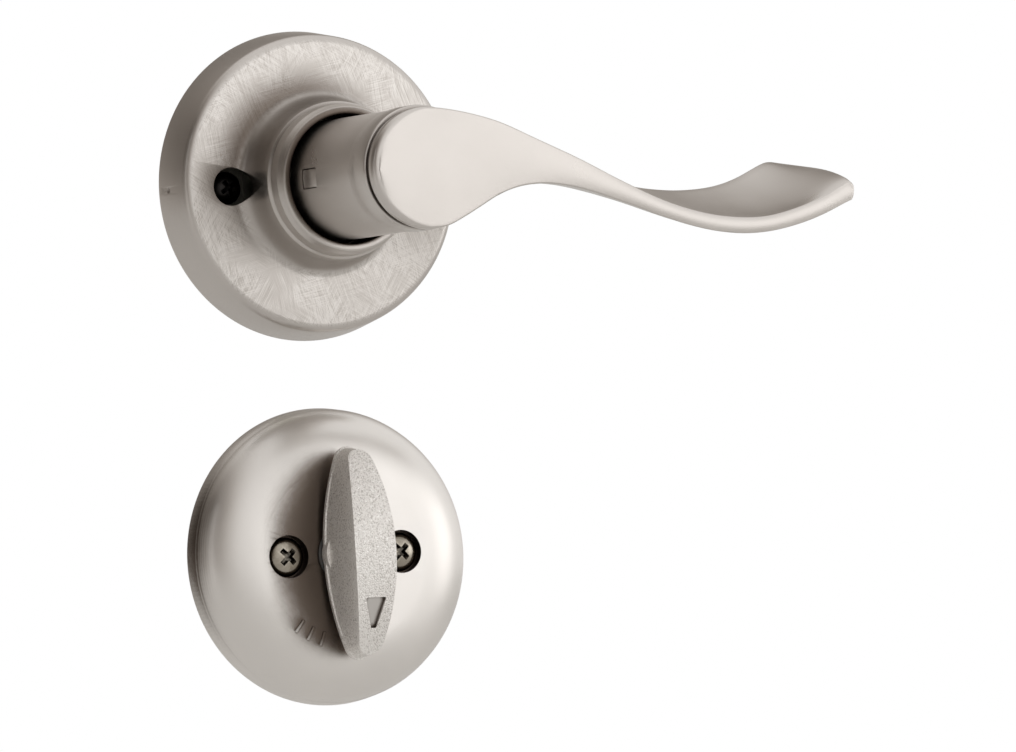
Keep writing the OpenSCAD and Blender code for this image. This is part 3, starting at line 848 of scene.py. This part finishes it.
def makeLeverRose():
    s = roseShape
    outer = rounded([
        (s["rimRadius"] - 0.9, 0, 0), (s["rimRadius"], 0, 0.35),
        (s["faceRadius"] + 0.05, s["faceHeight"], 2.0),
        (s["hubFoot"] + 0.6, s["faceHeight"] + 0.15),
    ], closed=False)
    outer += ellipseArc(s["hubFoot"], s["coveTop"], s["hubFoot"] - s["hubRadius"],
                        s["coveTop"] - s["faceHeight"] - 0.17, 270, 180, 12)
    outer += rounded([
        (s["hubRadius"], s["coveTop"]), (s["hubRadius"] - 0.1, 20.5, 0.3), (16.5, 21.1, 0.3),
        (16.25, 23.7, 0.5),
        (15.75, 24.9, 0.5), (15.55, s["lipTop"], 0.5), (s["openingRadius"], s["lipTop"], 0.6),
        (s["openingRadius"], 23.2, 0.1), (14.9, 22.4), (15.2, 20.2),
    ], closed=False, steps=4)
    inner = [(15.85, 19.6), (16.1, 16.4), (17.2, 12.8), (20.4, 10.0), (s["faceRadius"] - 2.2, 9.8),
             (s["faceRadius"] - 1.1, 8.6), (s["rimRadius"] - s["skin"], 0.0)]
    rose = toObject("leverRoseShell", spunShape(outer + inner, 192), "brushedNickel")
    for side in (-1, 1):
        holeX = side * (s["hubRadius"] + s["accessRadius"])
        boolean(rose, plug(holeX, 0, s["accessRadius"], 1, 40, "brushedNickel"), "DIFFERENCE")
        stake = bmesh.new()
        bmesh.ops.create_uvsphere(stake, u_segments=24, v_segments=16, radius=s["stakeRadius"] * mm)
        spot = (side * (s["rimRadius"] + 0.3) * mm, -s["stakeHeight"] * mm, 0)
        boolean(rose, toObject("tool", moved(stake, spot), "brushedNickel"), "DIFFERENCE")
    broken(rose, 0.14, angle=38, sharpAngle=30)
    finished(rose, "mount", "brushed_nickel", "lever_rose")
    print("lever rose made,", len(rose.data.polygons), "faces")


makeLeverRose()


domeShape = {
    "radius": 32.1, "height": 12.0, "skin": 1.2, "hole": 5.95,
    "seat": 9.2, "seatRadius": 4.65, "screwX": 13.4, "screwHole": 2.4,
}


def makeDome():
    s = domeShape
    outer = rounded([(s["radius"] - 0.8, 0), (s["radius"], 0, 0.3), (s["radius"] - 0.4, 3.7, 0.3)],
                    closed=False)
    outer += ellipseArc(17.5, 3.4, s["radius"] - 0.55 - 17.5, s["height"] - 3.4, 4, 84, 22)
    outer += rounded([(13, s["height"] + 0.02), (s["hole"], s["height"] + 0.02, 0.2),
                      (s["hole"], s["height"] - s["skin"])], closed=False)
    inner = [(17, 10.8)] + [(r - s["skin"], h - 0.9) for r, h in ellipseArc(18, 3.4, 13, 8.3, 80, 8, 8)]
    dome = toObject("turnRoseShell", spunShape(outer + inner, 192), "litDomeNickel")
    for side in (-1, 1):
        x = side * s["screwX"]
        boolean(dome, plug(x, 0, s["seatRadius"] + 0.9, 7.9, 10.9, "litDomeNickel"), "UNION")
        boolean(dome, plug(x, 0, s["seatRadius"], s["seat"], 20, "litDomeNickel"), "DIFFERENCE")
        boolean(dome, plug(x, 0, s["screwHole"], 1, 12, "litDomeNickel", 32), "DIFFERENCE")
    slid(dome, (0, 0, turnDrop))
    broken(dome, 0.16, angle=38, segments=3, sharpAngle=30)
    finished(dome, "mount", "satin_nickel", "turn_rose")
    print("thumbturn rose made,", len(dome.data.polygons), "faces")


def slid(piece, offset):
    piece.data.transform(Matrix.Translation(Vector(offset)))


makeDome()


turnShape = {
    "length": 46.0, "width": 11.4, "endRadius": 2.9, "base": 13.0, "front": 27.6, "lip": 0.9, "lipStep": 0.35,
    "taper": 0.5, "frontBow": 40.6, "backBow": 111.0, "bossRadius": 6.0, "bossLow": 12.7, "socket": 4.92,
    "markTop": (-10.0, 2.45), "markTip": (-16.5, 0.6), "markDepth": 1.0,
}


# two long bows that meet in round ends, as one closed row of points
def boatOutline(s, inset, bowSteps=60, endSteps=9):
    end = s["endRadius"]
    reach = s["length"] / 2 - inset - end
    wide = s["width"] / 2 - inset - end
    bow = (reach ** 2 + wide ** 2) / (2 * wide)
    lean = math.asin(reach / bow)
    points = []
    for side in (1, -1):
        for k in range(bowSteps + 1):
            a = lean * (2 * k / bowSteps - 1)
            across = wide - bow + (bow + end) * math.cos(a)
            points.append((side * across, side * (bow + end) * math.sin(a)))
        for k in range(1, endSteps):
            a = lean + (math.pi - 2 * lean) * k / endSteps
            points.append((side * end * math.cos(a), side * (reach + end * math.sin(a))))
    return points


def makeTurnPiece():
    s = turnShape

    def frontAt(z):
        return s["front"] - s["frontBow"] + math.sqrt(s["frontBow"] ** 2 - z * z)

    def backAt(z):
        return s["base"] + s["backBow"] - math.sqrt(s["backBow"] ** 2 - z * z)

    # share 0 is the lip's back edge and 1 is the front
    def ring(inset, share, lift=0.0):
        points = []
        for x, z in boatOutline(s, inset):
            height = backAt(z) + lift + (frontAt(z) - backAt(z) - lift) * share
            points.append(Vector((x * mm, -height * mm, z * mm)))
        return points

    step = s["lipStep"]
    rings = [ring(0, 0), ring(0, 0, s["lip"]), ring(step, 0, s["lip"] + 0.2)]
    rings += [ring(step + s["taper"] * k / 6, k / 6, s["lip"] + 0.2) for k in range(1, 7)]
    shape = bmesh.new()
    loops = drawRings(shape, rings)
    for loop in (loops[0], loops[-1]):
        closeRing(shape, loop)
    bmesh.ops.recalc_face_normals(shape, faces=shape.faces)
    turn = toObject("turnPieceCasting", shape, "castNickel")
    profile = rounded([(0, s["bossLow"]), (s["bossRadius"], s["bossLow"], 0.4), (s["bossRadius"], 15.5),
                       (0, 15.5)], closed=False)
    boss = spunShape(profile, 64, closed=False)
    boolean(turn, toObject("tool", boss, "castNickel"), "UNION")
    boolean(turn, plug(0, 0, s["socket"], 10, 21, "castNickel"), "DIFFERENCE")
    broken(turn, 0.4, angle=40, segments=3)
    boolean(turn, toObject("tool", markTool(s, frontAt), "markNickel"), "DIFFERENCE")
    slid(turn, (0, 0, turnDrop))
    smoothFaces(turn.data, 40)
    finished(turn, "turn", "cast_nickel", "turn_piece")
    print("turn piece made,", len(turn.data.polygons), "faces")


# the tool for the pressed triangle: its floor follows the bowed front
def markTool(s, frontAt):
    (high, wide), (low, narrow) = s["markTop"], s["markTip"]
    outline = rounded([(-wide, high, 0.4), (-narrow, low, 0.35), (narrow, low, 0.35), (wide, high, 0.4)])
    shape = bmesh.new()
    rings = [[Vector((x * mm, -(frontAt(z) - s["markDepth"]) * mm, z * mm)) for x, z in outline],
             [Vector((x * mm, -(frontAt(z) + 2) * mm, z * mm)) for x, z in outline]]
    for loop in drawRings(shape, rings):
        edges = [shape.edges.get((loop[i - 1], loop[i])) for i in range(len(loop))]
        bmesh.ops.contextual_create(shape, geom=edges)
    bmesh.ops.recalc_face_normals(shape, faces=shape.faces)
    return shape


makeTurnPiece()


screwSets = {
    "lever_screws": {"x": 19.05, "z": 0, "seat": 2.4, "head": 3.6, "rise": 2.5, "finish": "darkScrew",
                     "slot": "dark_screw", "turn": 30},
    "turn_screws": {"x": 13.4, "z": 1, "seat": 9.2, "head": 4.3, "rise": 2.8, "finish": "screwNickel",
                    "slot": "screw_nickel", "turn": 45},
}
# the cross recess: each arm against the head's radius, how far it goes down, and how much its foot narrows
recess = {"long": 1.62, "wide": 0.37, "tall": 4, "above": 0.25, "footLong": 0.4, "footWide": 0.6}
thread = {"radius": 2.08, "root": 1.66, "pitch": 0.79, "reach": 25.0}


def screwProfile(s):
    head, seat, rise = s["head"], s["seat"], s["rise"]
    profile = [(0, seat + rise)] + ellipseArc(0, seat + 0.6, head, rise - 0.6, 80, 0, 9)
    radius, root, pitch, reach = (thread[k] for k in ("radius", "root", "pitch", "reach"))
    profile += rounded([(head, seat + 0.6), (head, seat, 0.2), (radius, seat), (radius, seat - 4)],
                       closed=False)
    height = seat - 4.2
    while height > -reach + 1.2:
        profile += [(root, height), (root, height - 0.12)]
        profile += [(radius, height - pitch / 2), (radius, height - pitch / 2 - 0.1)]
        height -= pitch
    return profile + [(root, -reach + 0.6), (root - 0.6, -reach), (0, -reach)]


def makeScrews(node):
    s = screwSets[node]
    both = bmesh.new()
    for side in (-1, 1):
        screw = toObject("screw", spunShape(screwProfile(s), 40, closed=False), s["finish"])
        for turn in (0, 90):
            arm = bmesh.new()
            bmesh.ops.create_cube(arm, size=1)
            size = Vector((s["head"] * recess["long"], recess["tall"], s["head"] * recess["wide"])) * mm
            bmesh.ops.scale(arm, vec=size, verts=arm.verts)
            for vert in arm.verts:
                if vert.co.y > 0:
                    vert.co.x *= recess["footLong"]
                    vert.co.z *= recess["footWide"]
            heading = Matrix.Rotation(math.radians(turn + s["turn"] * side), 3, "Y")
            bmesh.ops.rotate(arm, verts=arm.verts, cent=(0, 0, 0), matrix=heading)
            moved(arm, (0, -(s["seat"] + s["rise"] + recess["above"]) * mm, 0))
            boolean(screw, toObject("tool", arm, s["finish"]), "DIFFERENCE")
        broken(screw, 0.1, angle=42, sharpAngle=35)
        slid(screw, (side * s["x"] * mm, 0, s["z"] * turnDrop))
        both.from_mesh(screw.data)
        bpy.data.objects.remove(screw)
    piece = toObject(node.replace("_s", "S") + "Detailed", both, s["finish"], 35)
    finished(piece, "mount", s["slot"], node)
    print(node, "made,", len(piece.data.polygons), "faces")


for screwNode in screwSets:
    makeScrews(screwNode)


# the pieces behind the roses keep their CAD shape, with broken corners
softNodes = {
    # node: finish, record slot, corner width
    "catch_button": ("satinNickel", "satin_nickel", 0.25),
    "drive_tube": ("zincPlate", "zinc_plate", 0.15),
    "drive_washer": ("zincPlate", "zinc_plate", 0.12),
    "spindle": ("zincPlate", "zinc_plate", 0.3),
    "retaining_ring": ("springSteel", "spring_steel", 0.12),
    "thrust_washer": ("zincPlate", "zinc_plate", 0.1),
    "lever_plate": ("zincPlate", "zinc_plate", 0.3),
    "bearing_bush": ("bushPlastic", "bush_plastic", 0.12),
    "spring_cage": ("zincPlate", "zinc_plate", 0.1),
    "turn_shaft": ("zincPlate", "zinc_plate", 0.15),
    "turn_clip": ("springSteel", "spring_steel", 0.1),
    "tailpiece": ("zincPlate", "zinc_plate", 0.25),
    "turn_plate": ("zincPlate", "zinc_plate", 0.25),
    "turn_bush": ("bushPlastic", "bush_plastic", 0.1),
    "turn_washer": ("springSteel", "spring_steel", 0.1),
    "position_marks": ("litDomeNickel", "satin_nickel", 0.2),
}


raisedNodes = {"position_marks": 0.5}     # stands proud of the fuller dome


def softened(node, finish, slotName, width):
    shape = bmesh.new()
    shape.from_mesh(frame["nodes"][node].data)
    bmesh.ops.remove_doubles(shape, verts=shape.verts, dist=0.000002)
    bmesh.ops.dissolve_limit(shape, angle_limit=math.radians(0.6), verts=shape.verts, edges=shape.edges,
                             delimit={"NORMAL"})
    piece = toObject(node + ".soft", shape, finish)
    broken(piece, width, angle=40, segments=2, sharpAngle=30)
    slid(piece, (0, -raisedNodes.get(node, 0) * mm, 0))
    return finished(piece, bodyOf(node), slotName, node)


def bodyOf(node):
    return next(body for body, nodes in frame["record"]["behaviour"]["bodies"].items() if node in nodes)


for nodeName, (finishName, slotName, cornerWidth) in softNodes.items():
    softened(nodeName, finishName, slotName, cornerWidth)
for nodeName in ("catch_spring", "return_spring"):
    for materialSlot in frame["nodes"][nodeName].material_slots:
        materialSlot.material = finishes["springSteel"]
print("inner pieces made:", len(softNodes))


def makeFloor():
    shape = bmesh.new()
    bmesh.ops.create_grid(shape, x_segments=2, y_segments=2, size=3)
    bmesh.ops.translate(shape, verts=shape.verts, vec=(0, 0, -0.28))
    material, tree, shader, coords = startMaterial("paleFloor", 0.0)
    tone = addNode(tree, "ShaderNodeTexNoise", {"Scale": 6.0, "Detail": 3.0})
    tree.links.new(coords, tone.inputs["Vector"])
    plain = mixColour(tree, tone.outputs[0], (0.84, 0.84, 0.83), (0.88, 0.88, 0.87))
    tree.links.new(plain, shader.inputs["Base Color"])
    shader.inputs["Roughness"].default_value = 0.8
    mesh = bpy.data.meshes.new("floor")
    shape.to_mesh(mesh)
    shape.free()
    floor = bpy.data.objects.new("floor", mesh)
    mesh.materials.append(material)
    bpy.context.collection.objects.link(floor)


makeFloor()
